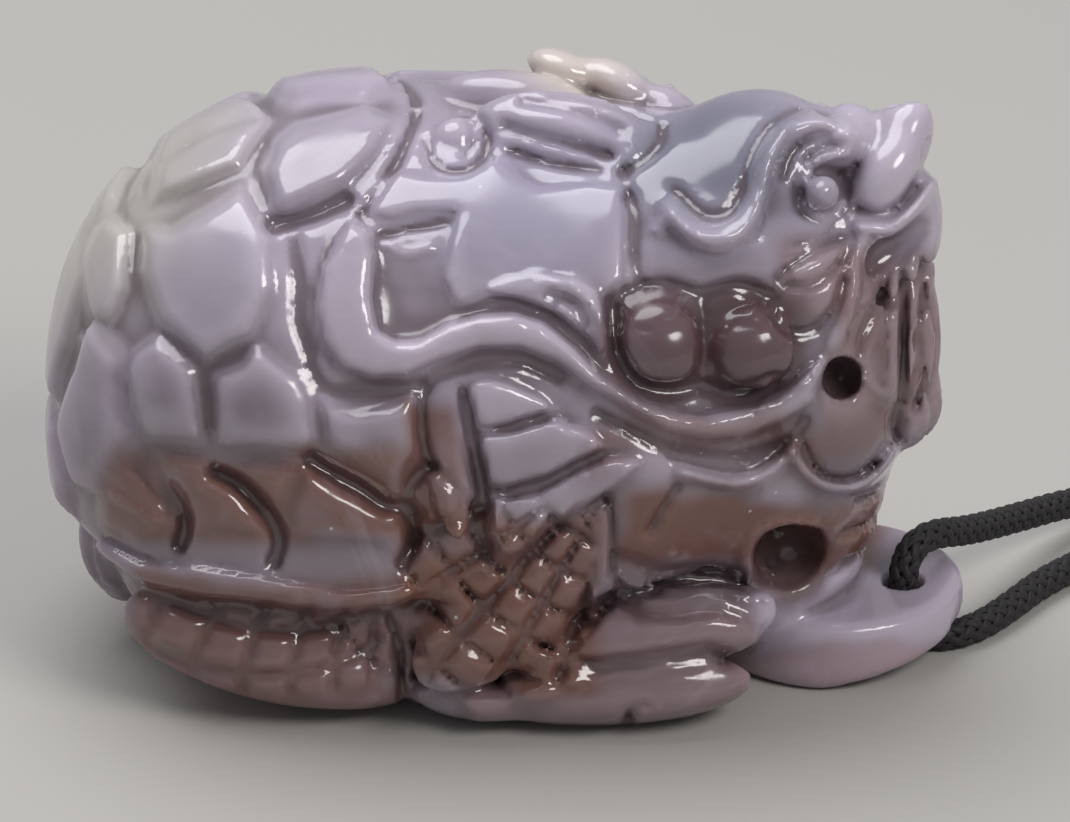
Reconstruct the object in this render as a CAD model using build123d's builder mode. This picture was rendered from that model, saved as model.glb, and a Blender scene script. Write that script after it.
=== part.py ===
from build123d import *
import math
import os
import numpy as np

# A jadeite pendant: one stone carved as a dragon turtle, with a cord loop through the plate under its
# chin. Millimetres and degrees. X runs to the head, Y away from the carved flank, Z up, and the stone rests
# on z = 0. The carving is drawn on a sheet ruled in columns along the stone and rows up it, as a viewer
# sees the flank from a little above. A column, a lane and a row are shares of the stone's length, width and
# height.

# Stone
stone_length = 54.0
stone_width = 33.0
stone_height = 36.0
columns, lanes, rows = 54, 33, 36
viewing_rise = 25.0
facet = 1.22

# Shell and relief
rim_height = 9.2
rim_overhang = 1.3
scute_rise = 0.9
scute_bevel = 1.3
scute_spread = 0.4
whisker_rise = 1.2
flame_rise = 1.0
neck_rise = 0.5
band_bevel = 0.6
band_spread = 0.1

# Head leaning towards the carved flank
head_lean = 3.2

# Plate under the chin, its drilled hole and the recess that lets the cord out below
plate_radius = 7.6
plate_thickness = 4.4
plate_edge = 0.9
plate_rise = 0.2
plate_aside = -1.0
hole_diameter = 2.4
hole_to_edge = 3.6
hole_aside = -2.2
recess_height = 2.3
recess_margin = 0.5

# Cord loop and its joining knot
cord_diameter = 1.8
cord_join = 3.7
cord_join_gap = 0.1
knot_diameter = 3.4
knot_length = 5.0
knot_clearance = 0.05
knot_round = 0.9

column = stone_length / columns
lane = stone_width / lanes
row = stone_height / rows
grain = (column * lane * row) ** (1 / 3)
sin_rise = math.sin(math.radians(viewing_rise))
cos_rise = math.cos(math.radians(viewing_rise))
hole_x = stone_length / 2 - hole_to_edge
plate_x = stone_length / 2 - plate_radius

# Rounded masses: name, x, z, half length, half width, half height in columns, lanes and rows,
# squareness (2 is an ellipsoid), pitch and how softly it flows into what is there
MASSES = [
    ("shell", -4.8, 15.0, 21.4, 15.8, 18.8, 2.4, 0, 0.0),
    ("fore body", 10.3, 18.6, 13.0, 9.6, 15.4, 2.5, 0, 3.0),
    ("chest", 12.5, 9.0, 9.3, 9.6, 9.5, 2.1, 0, 2.0),
    ("tail", -22.7, 6.0, 2.6, 2.3, 4.0, 2.0, 8, 0.6),
    ("dome", 13.2, 30.9, 6.2, 6.2, 4.3, 2.0, 30, 0.8),
    ("crown", 16.0, 32.9, 4.2, 4.0, 1.9, 2.0, -4, 1.0),
    ("snout", 21.2, 29.2, 3.7, 4.4, 3.0, 2.0, 40, 1.5),
    ("muzzle", 22.2, 26.2, 3.0, 3.9, 3.4, 2.0, 0, 1.5),
    ("nose", 22.5, 32.5, 3.6, 2.6, 1.9, 2.0, 64, 0.5),
    ("forehead knob", 20.2, 34.0, 1.6, 1.9, 1.2, 2.0, -15, 0.5),
    ("lip", 23.7, 28.4, 2.4, 3.6, 1.6, 2.0, 84, 1.2),
    ("beard", 21.2, 20.2, 3.5, 4.8, 5.8, 2.0, -6, 1.2),
    ("beard edge", 23.6, 20.6, 1.8, 3.4, 4.8, 2.0, 0, 1.2),
    ("beard tip", 23.7, 15.8, 1.8, 2.8, 3.0, 2.0, -16, 1.0),
    ("chin", 20.4, 14.2, 2.8, 4.4, 2.0, 2.0, 8, 0.8),
]

# Lumps on the flank: name, column, row, lane off the middle plane, half sizes along, across and deep,
# turn in the drawing, softness
LUMPS = [
    ("nostril", 22.0, 26.6, -6.0, 2.5, 1.5, 1.4, 60, 0.9),
    ("eye", 18.3, 25.6, -8.9, 1.0, 1.0, 0.9, 0, 0.15),
    ("cheek", 17.6, 20.3, -9.0, 2.3, 2.6, 2.2, 30, 1.0),
    ("jaw", 12.3, 22.2, -9.6, 3.6, 2.6, 2.2, 5, 1.5),
    ("rear pearl", 8.8, 16.8, -13.7, 2.6, 2.6, 2.0, 0, 0.2),
    ("front pearl", 14.1, 16.8, -12.3, 2.6, 2.6, 2.0, 0, 0.2),
    ("upper toe", 8.6, 0.0, -11.6, 7.4, 2.6, 3.0, 13, 0.3),
    ("toe root", 3.0, -1.4, -12.8, 3.8, 2.0, 2.4, 28, 0.8),
    ("lower toe", 7.0, -3.2, -12.3, 7.4, 2.1, 2.8, 4, 0.3),
    ("leg", 0.6, 2.0, -13.2, 7.4, 3.3, 2.6, 40, 1.2),
    ("heel", -2.2, -3.4, -12.6, 3.6, 1.6, 2.2, -8, 0.6),
    ("hind leg", -14.0, -0.6, -11.4, 8.6, 3.3, 3.0, -14, 1.2),
    ("hind foot", -9.2, -3.2, -12.0, 3.6, 1.1, 1.9, -4, 0.4),
    ("side column", -3.4, 10.5, -15.0, 1.3, 5.0, 1.3, 8, 0.8),
]

# Lumps on one side only, in the same columns; a lane above 0 lies beyond the middle plane
SINGLE_LUMPS = [
    ("brow", 18.2, 28.3, -5.2, 2.8, 1.4, 1.6, 12, 0.9),
    ("far brow", 19.2, 29.2, -1.6, 2.4, 1.3, 1.6, 4, 1.2),
    ("mane", 3.6, 29.2, -2.8, 5.4, 2.3, 2.3, -8, 1.6),
    ("far mane", 0.6, 31.4, 2.2, 4.2, 1.5, 2.6, -6, 1.0),
    ("far lock", 3.5, 32.9, 4.6, 2.4, 1.15, 2.4, -22, 0.3),
    ("far middle lock", 6.8, 32.0, 3.8, 2.6, 1.25, 2.4, -30, 0.6),
    ("far front lock", 9.7, 30.6, 2.8, 2.1, 1.15, 2.2, -32, 0.3),
    ("mane curl", -2.8, 28.6, -3.4, 1.5, 1.45, 1.3, 0, 0.1),
]

# Hollows sunk from the flank, in the same columns as the lumps
HOLLOWS = [
    ("pit", 16.7, 4.5, -9.2, 2.3, 2.2, 4.2, 0, 0.5),
    ("mouth corner", 19.5, 14.9, -10.4, 1.25, 1.25, 3.4, 0, 0.3),
    ("panel", -5.6, 20.0, -13.6, 2.4, 3.0, 1.5, -8, 1.2),
    ("mouth", 23.0, 22.5, -6.6, 2.5, 1.3, 1.4, 34, 1.0),
]

# Raised outlines on the flank: name, rise, bevel, spread past the corners, corners in columns and rows
OUTLINES = [
    ("back scute", scute_rise, scute_bevel, scute_spread,
     [(-21.0, 23.6), (-19.4, 23.7), (-15.2, 26.0), (-13.5, 23.1), (-13.3, 20.0), (-14.5, 17.3),
      (-17.4, 15.8), (-20.1, 18.1), (-21.2, 21.0)]),
    ("side scute", scute_rise, scute_bevel, scute_spread,
     [(-17.0, 15.1), (-15.2, 15.9), (-14.4, 17.0), (-11.9, 15.0), (-10.9, 11.4), (-11.6, 10.6),
      (-16.8, 10.8)]),
    ("hip scute", scute_rise, scute_bevel, scute_spread,
     [(-20.1, 17.5), (-17.9, 15.6), (-17.4, 11.1), (-20.9, 11.3), (-22.2, 15.5)]),
    ("tail scute", scute_rise, scute_bevel, scute_spread,
     [(-24.7, 17.5), (-23.6, 17.0), (-22.7, 12.5), (-24.5, 12.5)]),
    ("rump scute", scute_rise, scute_bevel, scute_spread,
     [(-25.3, 21.0), (-23.4, 25.0), (-21.7, 23.5), (-22.8, 17.9)]),
    ("top scute", scute_rise, scute_bevel, scute_spread,
     [(-14.1, 27.0), (-12.3, 29.7), (-8.1, 30.9), (-6.5, 29.9), (-9.2, 26.1), (-13.3, 24.6)]),
    ("ridge scute", scute_rise, scute_bevel, scute_spread,
     [(-20.6, 25.0), (-15.3, 27.1), (-13.6, 30.4), (-20.6, 27.6)]),
    ("shoulder scute", scute_rise, scute_bevel, scute_spread,
     [(-10.6, 13.9), (-8.6, 13.1), (-5.3, 13.9), (-4.9, 10.8), (-6.4, 8.4), (-10.4, 11.0)]),
    ("rear edge scute", scute_rise, scute_bevel, scute_spread,
     [(-24.2, 10.5), (-22.4, 10.9), (-19.2, 6.8), (-21.5, 4.3)]),
    ("front edge scute", scute_rise, scute_bevel, scute_spread,
     [(-11.6, 9.9), (-7.2, 7.3), (-6.0, 4.4), (-12.6, 4.3)]),
    ("whisker", whisker_rise, band_bevel, band_spread,
     [(-8.9, 24.2), (-10.6, 21.3), (-11.0, 18.9), (-9.5, 15.4), (-7.7, 14.8), (-5.6, 14.9), (-1.5, 16.5),
      (0.8, 16.5), (4.9, 14.2), (9.1, 11.7), (13.8, 11.3), (17.9, 13.4), (18.8, 16.6), (14.4, 13.6),
      (10.2, 13.0), (5.5, 15.3), (2.3, 18.3), (-1.5, 18.7), (-5.1, 17.2), (-7.2, 17.8), (-7.4, 21.9)]),
    ("curl", flame_rise, band_bevel, band_spread,
     [(-1.4, 19.6), (2.0, 21.4), (5.4, 20.2), (6.2, 16.8), (4.6, 17.2), (0.6, 19.3)]),
    ("neck plate", neck_rise, band_bevel, band_spread,
     [(-7.9, 25.2), (-6.3, 27.0), (-2.0, 26.9), (-0.4, 27.7), (0.9, 26.5), (6.8, 26.0), (6.9, 21.4),
      (2.0, 22.4), (-2.2, 20.6), (-3.0, 19.0), (-3.7, 20.6), (-2.8, 24.6)]),
    ("upper flame", flame_rise, band_bevel, band_spread,
     [(-2.3, 14.7), (0.0, 14.8), (3.2, 13.1), (-1.6, 11.9)]),
    ("middle flame", flame_rise, band_bevel, band_spread,
     [(-1.6, 11.6), (3.3, 12.7), (6.0, 11.0), (0.0, 8.5)]),
    ("lower flame", flame_rise, band_bevel, band_spread,
     [(-0.9, 8.2), (2.0, 8.4), (8.2, 10.3), (3.1, 6.1), (1.6, 5.2), (0.0, 4.2), (-1.0, 5.5)]),
    ("dome edge", flame_rise, band_bevel, band_spread,
     [(8.2, 23.2), (9.7, 24.9), (12.2, 23.2), (14.6, 26.0), (16.6, 29.9), (14.8, 24.3), (12.0, 21.8),
      (9.5, 23.6)]),
]

# Raised outlines on the rump, seen from behind and repeated on the other side: name, rise, bevel, spread,
# corners in lanes off the middle plane and rows
REAR_OUTLINES = [
    ("rear scute", scute_rise, scute_bevel, scute_spread,
     [(4.6, 26.0), (5.4, 21.0), (3.8, 16.4), (-3.8, 16.4), (-5.4, 21.0), (-4.6, 26.0)]),
    ("low rear scute", scute_rise, scute_bevel, scute_spread,
     [(3.4, 15.2), (6.2, 12.4), (5.6, 10.0), (-5.6, 10.0), (-6.2, 12.4), (-3.4, 15.2)]),
    ("rear side scute", scute_rise, scute_bevel, scute_spread,
     [(-6.6, 24.0), (-6.8, 20.6), (-5.0, 15.8), (-7.4, 12.8), (-10.6, 13.6), (-12.0, 18.4), (-10.4, 22.6)]),
]
rear_start = -19.0

# Cord loop out of the hole's top, round and back to its underside: steps aside from the hole's axis and
# the height above the floor
CORD_ROUTE = [
    (0.0, 0.0, cord_join + cord_join_gap / 2), (0.0, 0.0, 5.3), (0.75, 0.85, 6.4), (2.0, 2.4, 6.3),
    (3.9, 5.4, 5.0), (6.8, 10.4, 3.4), (10.6, 16.2, 1.8), (17.4, 20.9, 0.9), (27.6, 23.6, 0.9),
    (41.6, 23.4, 1.7), (55.6, 21.0, 1.7), (66.4, 14.8, 0.9), (70.2, 5.0, 0.9), (65.8, -4.0, 0.9),
    (56.0, -8.0, 0.9), (44.8, -6.0, 0.9), (34.6, 0.4, 0.9), (26.8, 7.4, 0.9), (19.8, 12.2, 0.9),
    (13.2, 11.8, 0.9), (8.8, 7.4, 0.9), (6.4, 3.4, 0.9), (4.6, 0.9, 0.9), (2.8, -0.4, 0.9),
    (1.15, -0.3, 0.9), (0.0, 0.0, 2.05), (0.0, 0.0, cord_join - cord_join_gap / 2),
]
knot_run = 9


def softer(a, b, softness):
    """Union of two fields that flow into each other."""
    if softness <= 0:
        return np.minimum(a, b)
    overlap = np.maximum(softness - np.abs(a - b), 0) / softness
    return np.minimum(a, b) - overlap ** 2 * softness / 4


def ramp(share):
    share = np.clip(share, 0, 1)
    return share * share * (3 - 2 * share)


def lean(x, z):
    """Lanes by which the head lies off the stone's middle plane."""
    return -head_lean / lane * ramp((x - 1) / 10) * ramp((z - 7) / 12)


def mass(x, y, z, centre_x, centre_z, half_x, half_y, half_z, squareness, pitch):
    cos_pitch, sin_pitch = math.cos(math.radians(pitch)), math.sin(math.radians(pitch))
    along = (x - centre_x) * cos_pitch + (z - centre_z) * sin_pitch
    above = (z - centre_z) * cos_pitch - (x - centre_x) * sin_pitch
    reach = (np.abs(along / half_x) ** squareness + np.abs(y / half_y) ** squareness
             + np.abs(above / half_z) ** squareness) ** (1 / squareness)
    return np.sqrt(along ** 2 + y ** 2 + above ** 2) * (1 - 1 / np.maximum(reach, 0.05))


def lump(x, y, z, at_x, at_row, at_lane, along, across, deep, turn):
    """An ellipsoid whose middle is drawn at (at_x, at_row) and whose axes lie in the drawing."""
    at_z = (at_row - at_lane * sin_rise) / cos_rise
    up = (y - at_lane) * sin_rise + (z - at_z) * cos_rise
    out = (z - at_z) * sin_rise - (y - at_lane) * cos_rise
    cos_turn, sin_turn = math.cos(math.radians(turn)), math.sin(math.radians(turn))
    a = ((x - at_x) * cos_turn + up * sin_turn) / along
    b = (up * cos_turn - (x - at_x) * sin_turn) / across
    c = out / deep
    near = np.sqrt(a * a + b * b + c * c)
    slope = np.sqrt((a / along) ** 2 + (b / across) ** 2 + (c / deep) ** 2)
    return near * (near - 1) / np.maximum(slope, 1e-4)


def inside_by(x, up, corners):
    """How far a drawn point lies inside a closed outline, below 0 outside it."""
    nearest = np.full(x.shape, np.inf)
    inside = np.zeros(x.shape, bool)
    for (x0, up0), (x1, up1) in zip(corners, corners[1:] + corners[:1]):
        dx, dup = x1 - x0, up1 - up0
        share = np.clip(((x - x0) * dx + (up - up0) * dup) / (dx * dx + dup * dup), 0, 1)
        nearest = np.minimum(nearest, np.hypot(x - x0 - share * dx, up - up0 - share * dup))
        if up0 != up1:
            inside ^= ((up0 > up) != (up1 > up)) & (x < x0 + (up - up0) * dx / dup)
    return np.where(inside, nearest, -nearest)


def plate(x, y, z):
    """Round plate in millimetres, its underside rising to the end that carries the hole."""
    bottom = np.maximum(x - plate_x + plate_edge, 0) * plate_rise
    middle = (plate_thickness + bottom) / 2
    half = np.maximum((plate_thickness - bottom) / 2 - plate_edge, 0)
    round_out = np.maximum(np.hypot(x - plate_x, y - plate_aside) - plate_radius + plate_edge, 0)
    round_up = np.maximum(np.abs(z - middle) - half, 0)
    return np.hypot(round_out, round_up) - plate_edge


def without_pinches(field):
    """Fill the places where the skin would meet itself along an edge."""
    pinched = True
    while pinched:
        pinched = False
        for plane in ((0, 1, 2), (0, 2, 1), (1, 2, 0)):
            sheet = field.transpose(plane)
            corners = (sheet[:-1, :-1], sheet[1:, :-1], sheet[1:, 1:], sheet[:-1, 1:])
            inside = [corner < 0 for corner in corners]
            crossed = (inside[0] == inside[2]) & (inside[1] == inside[3]) & (inside[0] != inside[1])
            for corner in corners:
                corner[crossed] = np.minimum(corner[crossed], -0.02)
            pinched = pinched or bool(crossed.any())
    return field


def carved_field():
    """Depth under the stone's skin, below 0 inside, on a grid that is as fine as the facets."""
    xs = np.arange(-columns / 2 - 2 * facet, columns / 2 + 2 * facet, facet / column)
    half_ys = np.arange(0, lanes / 2 + 2 * facet, facet / lane)
    ys = np.concatenate([-half_ys[:0:-1], half_ys])
    zs = np.arange(-3.5 * facet, rows + 2 * facet, facet / row)
    x, y, z = np.meshgrid(xs, ys, zs, indexing="ij")
    _, centre_x, centre_z, half_x, half_y, half_z, squareness, pitch, _ = MASSES[0]
    overhang = rim_overhang / grain
    belly = mass(x, y, z, centre_x, centre_z, half_x - overhang, half_y - overhang, half_z, squareness,
                 pitch)
    roof = mass(x, y, z, centre_x, centre_z, half_x, half_y, half_z, squareness, pitch)
    field = softer(belly, np.maximum(roof, rim_height / row - z), 0.3)
    for _, *numbers, softness in MASSES[1:]:
        field = softer(field, mass(x, y, z, *numbers), softness)
    near_y = lean(x, z) - np.abs(y)
    for _, *numbers, softness in LUMPS:
        field = softer(field, lump(x, near_y, z, *numbers), softness)
    for _, *numbers, softness in HOLLOWS:
        field = -softer(-field, lump(x, near_y, z, *numbers), softness)
    for _, *numbers, softness in SINGLE_LUMPS:
        field = softer(field, lump(x, y + lean(x, z), z, *numbers), softness)
    up = near_y * sin_rise + z * cos_rise
    rise = np.zeros(field.shape)
    for _, height, bevel, spread, corners in OUTLINES:
        depth_in = inside_by(x, up, corners) * grain + spread
        rise = np.maximum(rise, height / grain * ramp(depth_in / bevel))
    for _, height, bevel, spread, corners in REAR_OUTLINES:
        depth_in = np.minimum(inside_by(y, z, corners), rear_start - x) * grain + spread
        rise = np.maximum(rise, height / grain * ramp(depth_in / bevel))
    field = field - np.where(np.abs(field) < 3, rise, 0)
    field = softer(field, plate(x * column, y * lane, z * row) / grain, 0.6)
    return without_pinches(field), (xs, ys, zs)


def facets(field, axes):
    """Corner points and four-sided rings of the skin: one point in each cell that the skin crosses."""
    inside = field < 0
    cells = tuple(n - 1 for n in field.shape)
    corners = [(i, j, k) for i in (0, 1) for j in (0, 1) for k in (0, 1)]
    inner = np.zeros(cells, int)
    for corner in corners:
        inner += inside[tuple(slice(c, c + n) for c, n in zip(corner, cells))]
    crossed = np.argwhere((inner > 0) & (inner < 8))
    number = np.full(cells, -1)
    number[tuple(crossed.T)] = np.arange(len(crossed))
    total, hits = np.zeros((len(crossed), 3)), np.zeros(len(crossed))
    for corner in corners:
        for axis in range(3):
            if corner[axis]:
                continue
            here = crossed + corner
            there = here + np.eye(3, dtype=int)[axis]
            f0, f1 = field[tuple(here.T)], field[tuple(there.T)]
            hit = (f0 < 0) != (f1 < 0)
            share = np.divide(f0, f0 - f1, out=np.zeros(len(f0)), where=hit)
            total[hit] += (np.array(corner, float) + np.outer(share, np.eye(3)[axis]))[hit]
            hits[hit] += 1
    spacing = np.array([axis[1] - axis[0] for axis in axes])
    points = np.array([axis[0] for axis in axes]) + spacing * (crossed + total / hits[:, None])
    rings = []
    for axis in range(3):
        u, v = (axis + 1) % 3, (axis + 2) % 3
        step_u, step_v = np.eye(3, dtype=int)[u], np.eye(3, dtype=int)[v]
        first = np.take(inside, range(field.shape[axis] - 1), axis)
        second = np.take(inside, range(1, field.shape[axis]), axis)
        edge = np.argwhere(first != second)
        edge = edge[(edge[:, u] > 0) & (edge[:, v] > 0) & (edge[:, u] < cells[u]) & (edge[:, v] < cells[v])]
        ring = [number[tuple((edge - away).T)] for away in (step_u + step_v, step_v, 0 * step_u, step_u)]
        ring = np.stack(ring, 1)
        leaving = first[tuple(edge.T)]
        ring[~leaving] = ring[~leaving][:, ::-1]
        rings.append(ring)
    return points, np.vstack(rings)


def carved_block():
    """Closed faceted solid of the carving, reaching a little below z = 0 for a flat cut base."""
    points, rings = facets(*carved_field())
    points[:, 1] += lean(points[:, 0], points[:, 2])
    points = points * (column, lane, row)
    faces = []
    for a, b, c, d in rings:
        if np.linalg.norm(points[a] - points[c]) <= np.linalg.norm(points[b] - points[d]):
            triangles = ((a, b, c), (a, c, d))
        else:
            triangles = ((a, b, d), (b, c, d))
        for triangle in triangles:
            faces.append(Face(Wire.make_polygon([tuple(points[i]) for i in triangle], close=True)))
    print("stone facets:", len(faces))
    return Solid(Shell(faces))


os.makedirs("parts", exist_ok=True)

# Stone: the carving cut flat below, drilled for the cord and recessed under the hole
block = carved_block()
recess_half = hole_diameter / 2 + recess_margin
recess_reach = stone_length / 2 - hole_x + recess_half + recess_margin
with BuildPart() as dragon_turtle:
    add(block)
    split(bisect_by=Plane.XY, keep=Keep.TOP)
    with Locations((hole_x, hole_aside, plate_thickness)):
        Hole(hole_diameter / 2, depth=plate_thickness)
    with BuildSketch() as recess:
        with Locations((hole_x - recess_half + recess_reach / 2, hole_aside)):
            Rectangle(recess_reach, 2 * recess_half)
    extrude(amount=recess_height, mode=Mode.SUBTRACT)
dragon_turtle.part.label = "dragon_turtle"
export_step(dragon_turtle.part, "parts/dragon_turtle.step")

# Cord: straight runs joined by tangent arcs
route = [Vector(hole_x + aside, hole_aside + away, height) for aside, away, height in CORD_ROUTE]
runs = [b - a for a, b in zip(route, route[1:])]
radii = []
for before, after in zip(runs, runs[1:]):
    half_turn = math.radians(before.get_angle(after)) / 2
    radii.append(0.45 * min(before.length, after.length) / math.tan(half_turn))
print("cord radii:", [round(radius, 1) for radius in radii])

with BuildPart() as cord:
    with BuildLine() as cord_path:
        FilletPolyline(*route, radius=radii)
    with BuildSketch(Plane(route[0], z_dir=runs[0])):
        Circle(cord_diameter / 2)
    sweep()
cord.part.label = "cord"
cord_length = cord_path.wire().length
print("cord length:", round(cord_length, 1), "volume over section times length:",
      round(cord.part.volume / (math.pi * cord_diameter ** 2 / 4 * cord_length), 4))
export_step(cord.part, "parts/cord.step")

# Knot: a plain barrel round the cord on one straight run
knot_middle = route[knot_run] + runs[knot_run] / 2
knot_end = Plane(knot_middle - runs[knot_run].normalized() * knot_length / 2, z_dir=runs[knot_run])
with BuildPart() as cord_knot:
    with BuildSketch(knot_end):
        Circle(knot_diameter / 2)
    extrude(amount=knot_length)
    fillet(cord_knot.edges(), radius=knot_round)
    with BuildSketch(knot_end):
        Circle(cord_diameter / 2 + knot_clearance)
    extrude(amount=knot_length, mode=Mode.SUBTRACT)
cord_knot.part.label = "cord_knot"
export_step(cord_knot.part, "parts/cord_knot.step")
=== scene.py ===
import math

import bpy
import numpy as np
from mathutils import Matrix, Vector


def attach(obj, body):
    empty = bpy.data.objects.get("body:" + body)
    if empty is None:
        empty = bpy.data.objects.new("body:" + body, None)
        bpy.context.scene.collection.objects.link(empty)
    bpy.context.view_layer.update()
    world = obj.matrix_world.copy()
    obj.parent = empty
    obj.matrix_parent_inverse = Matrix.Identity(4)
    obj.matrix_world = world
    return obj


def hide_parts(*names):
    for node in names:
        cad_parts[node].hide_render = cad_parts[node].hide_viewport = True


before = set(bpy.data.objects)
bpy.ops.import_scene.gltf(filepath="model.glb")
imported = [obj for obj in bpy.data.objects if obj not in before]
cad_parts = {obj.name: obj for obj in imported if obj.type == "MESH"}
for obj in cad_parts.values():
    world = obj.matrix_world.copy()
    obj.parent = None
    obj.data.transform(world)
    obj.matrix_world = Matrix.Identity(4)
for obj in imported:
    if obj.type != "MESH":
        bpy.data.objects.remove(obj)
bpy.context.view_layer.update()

# A polished jadeite dragon turtle with a black braided cord. Sizes are in millimetres, but for the camera's
# distance, the lights and the floor, which are in metres.
MM = 0.001
columns, lanes, rows = 54.0, 33.0, 36.0
viewing_rise = 25.0
# The head leans off the middle plane, from this column and row on, over so many columns and rows
head_lean, lean_column, lean_columns, lean_row, lean_rows = 3.2, 1, 10, 7, 12
rim_height, rim_overhang, rim_softness, belly_softness = 9.2, 1.3, 0.8, 0.3
plate_radius, plate_thickness, plate_edge, plate_rise, plate_aside = 7.6, 4.4, 0.9, 0.2, -1.0
plate_softness = 0.6
hole_x, hole_aside, hole_diameter, hole_softness = 23.4, -2.2, 2.4, 0.35
recess_height, recess_margin, recess_softness = 2.3, 0.5, 0.3
base_height = 0.02
cord_diameter = 1.8
cord_join, cord_join_gap = 3.7, 0.1
cord_spacing = 0.22
carriers, carrier_lay = 12, 7.0
# A yarn of the braid, and as shares of its size: half its thickness, how deep it lies, how far it weaves
# and how deep the core lies
yarn, yarn_half_width, yarn_sides = 0.16, 0.29, 6
yarn_flat, yarn_sink, yarn_weave, core_sink = 0.85, 1.1, 0.45, 2.1
# Grid of the carving, finer from the head's column and the crown's row on and coarser below the feet's row
grain, fine_grain, foot_stretch = 0.35, 0.285, 1.3
head_column, foot_row, crown_row = 15.0, 4.0, 28.0
end_margin, side_margin, top_margin = 1.5, 2.0, 2.0
mass_margin, lump_margin = 1, 2

SIN = math.sin(math.radians(viewing_rise))
COS = math.cos(math.radians(viewing_rise))

# Camera: a long lens 25 degrees above the carved flank
camera_distance = 0.8
view_width = 62.94
view_middle = (1.706, 13.0)

CORD_ROUTE = [
    (0, 0, cord_join + cord_join_gap / 2), (0, 0, 5.3), (0.75, 0.85, 6.4), (2, 2.4, 6.3),
    (3.9, 5.4, 5), (6.8, 10.4, 3.4), (10.6, 16.2, 1.8), (17.4, 20.9, 0.9), (27.6, 23.6, 0.9),
    (41.6, 23.4, 1.7), (55.6, 21, 1.7), (66.4, 14.8, 0.9), (70.2, 5, 0.9), (65.8, -4, 0.9),
    (56, -8, 0.9), (44.8, -6, 0.9), (34.6, 0.4, 0.9), (26.8, 7.4, 0.9), (19.8, 12.2, 0.9),
    (13.2, 11.8, 0.9), (8.8, 7.4, 0.9), (6.4, 3.4, 0.9), (4.6, 0.9, 0.9), (2.8, -0.4, 0.9),
    (1.15, -0.3, 0.9), (0, 0, 2.05), (0, 0, cord_join - cord_join_gap / 2),
]


def add_camera():
    data = bpy.data.cameras.new("camera")
    data.sensor_width = 36.0
    data.lens = data.sensor_width * camera_distance / (view_width * MM)
    data.clip_start = 0.05
    camera = bpy.data.objects.new("camera", data)
    target = Vector((view_middle[0], 0.0, view_middle[1] / COS)) * MM
    camera.location = target + Vector((0, -COS, SIN)) * camera_distance
    camera.rotation_euler = (math.radians(90 - viewing_rise), 0, 0)
    bpy.context.collection.objects.link(camera)
    bpy.context.scene.camera = camera


def cord_line():
    """Points along the cord's smooth line, read from a curve through its route."""
    data = bpy.data.curves.new("cord_route", "CURVE")
    data.dimensions = "3D"
    data.resolution_u = 40
    spline = data.splines.new("NURBS")
    spline.points.add(len(CORD_ROUTE) - 1)
    for point, (aside, away, height) in zip(spline.points, CORD_ROUTE):
        point.co = ((hole_x + aside) * MM, (hole_aside + away) * MM, height * MM, 1.0)
    spline.order_u = 3
    spline.use_endpoint_u = True
    route = bpy.data.objects.new("cord_route", data)
    mesh = bpy.data.meshes.new_from_object(route)
    points = np.array([vertex.co for vertex in mesh.vertices])
    bpy.data.meshes.remove(mesh)
    bpy.data.objects.remove(route)
    bpy.data.curves.remove(data)
    return points


def even(points, spacing):
    """The same line with evenly spaced points."""
    along = np.concatenate([[0], np.cumsum(np.linalg.norm(np.diff(points, axis=0), axis=1))])
    count = int(round(along[-1] / spacing)) + 1
    places = np.linspace(0, along[-1], count)
    return np.stack([np.interp(places, along, points[:, k]) for k in range(3)], 1), places


def frames_along(points):
    """Side and up directions that turn with the line but don't twist round it."""
    tangents = np.gradient(points, axis=0)
    tangents /= np.linalg.norm(tangents, axis=1, keepdims=True)
    side = np.cross(tangents[0], (0.3, 1.0, 0.2))
    sides = []
    for tangent in tangents:
        side = side - tangent * np.dot(side, tangent)
        side = side / np.linalg.norm(side)
        sides.append(side)
    sides = np.array(sides)
    return sides, np.cross(tangents, sides)


def tube(points, across, thick, sides_out, sides_side):
    """Oval tube along points; sides_out and sides_side are its two directions at each point."""
    turn = np.arange(yarn_sides) / yarn_sides * 2 * math.pi
    rings = (points[:, None] + sides_side[:, None] * (np.cos(turn)[None, :, None] * across)
             + sides_out[:, None] * (np.sin(turn)[None, :, None] * thick))
    n, m = len(points), yarn_sides
    first = np.arange(n - 1)[:, None] * m
    step = np.arange(m)[None, :]
    after = (step + 1) % m
    faces = np.stack([first + step, first + after, first + m + after, first + m + step], -1).reshape(-1, 4)
    return rings.reshape(-1, 3), faces


def mesh_object(name, vertices, faces, smooth=True):
    mesh = bpy.data.meshes.new(name)
    mesh.from_pydata(vertices.tolist(), [], faces.tolist())
    mesh.update()
    if smooth:
        mesh.polygons.foreach_set("use_smooth", [True] * len(mesh.polygons))
    piece = bpy.data.objects.new(name, mesh)
    bpy.context.collection.objects.link(piece)
    return piece


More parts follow.
